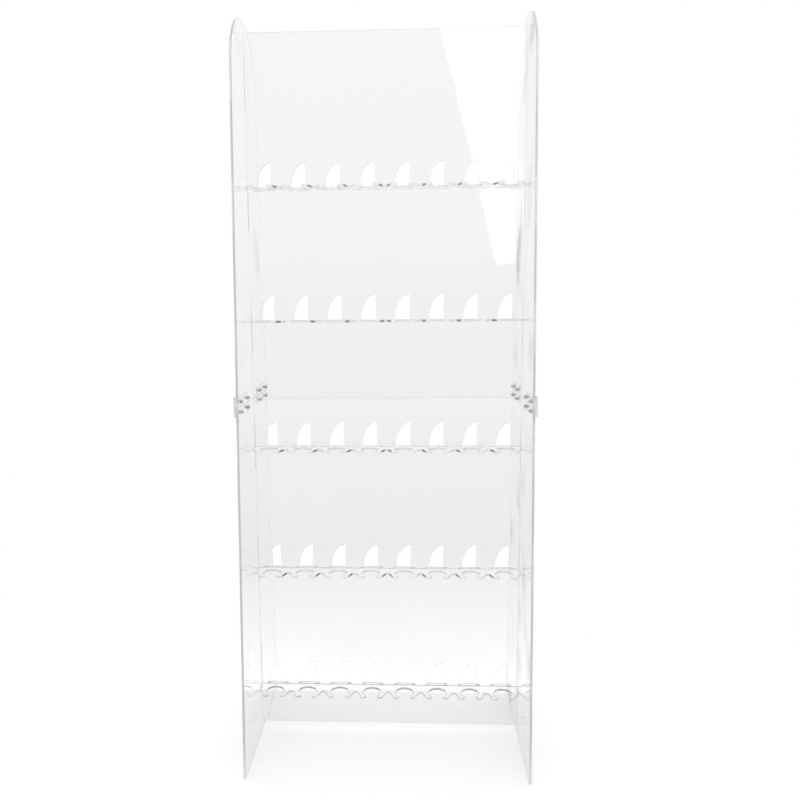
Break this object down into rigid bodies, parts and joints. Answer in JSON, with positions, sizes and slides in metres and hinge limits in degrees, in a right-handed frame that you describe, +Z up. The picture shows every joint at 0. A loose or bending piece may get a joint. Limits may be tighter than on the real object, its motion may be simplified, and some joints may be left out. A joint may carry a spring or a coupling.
{
  "type": "display rack",
  "caption": "Tall free-standing rack of clear acrylic sheet: arched side panels, an upright back panel with fin-shaped openings, and notched shelves on tabs, with bolted splice plates.",
  "frame": {"origin": "on the floor, below the centre of the front face of the back panel, which is also the centre of the footprint", "axes": "+X to the right seen from the front, +Y from front to rear, +Z up"},
  "size_m": [0.6244, 0.39, 1.6],
  "materials": {
    "clear_acrylic": "clear, polished faces with laser-cut edges",
    "steel_bolt": "plain stainless steel, lightly turned",
    "steel_washer": "stamped stainless steel",
    "steel_nut": "plain stainless steel"
  },
  "bodies": {
    "root": {"left_side_lower": "clear_acrylic", "left_side_upper": "clear_acrylic", "right_side_lower": "clear_acrylic", "right_side_upper": "clear_acrylic", "back_panel_lower": "clear_acrylic", "back_panel_upper": "clear_acrylic", "shelf_1": "clear_acrylic", "shelf_2": "clear_acrylic", "shelf_3": "clear_acrylic", "shelf_4": "clear_acrylic", "shelf_5": "clear_acrylic", "splice_plate_left_front": "clear_acrylic", "splice_plate_left_rear": "clear_acrylic", "splice_plate_right_front": "clear_acrylic", "splice_plate_right_rear": "clear_acrylic", "splice_bolts_left_front": "steel_bolt", "splice_bolts_left_rear": "steel_bolt", "splice_bolts_right_front": "steel_bolt", "splice_bolts_right_rear": "steel_bolt", "splice_washers_left_front": "steel_washer", "splice_washers_left_rear": "steel_washer", "splice_washers_right_front": "steel_washer", "splice_washers_right_rear": "steel_washer", "splice_nuts_left_front": "steel_nut", "splice_nuts_left_rear": "steel_nut", "splice_nuts_right_front": "steel_nut", "splice_nuts_right_rear": "steel_nut"}
  },
  "joints": []
}
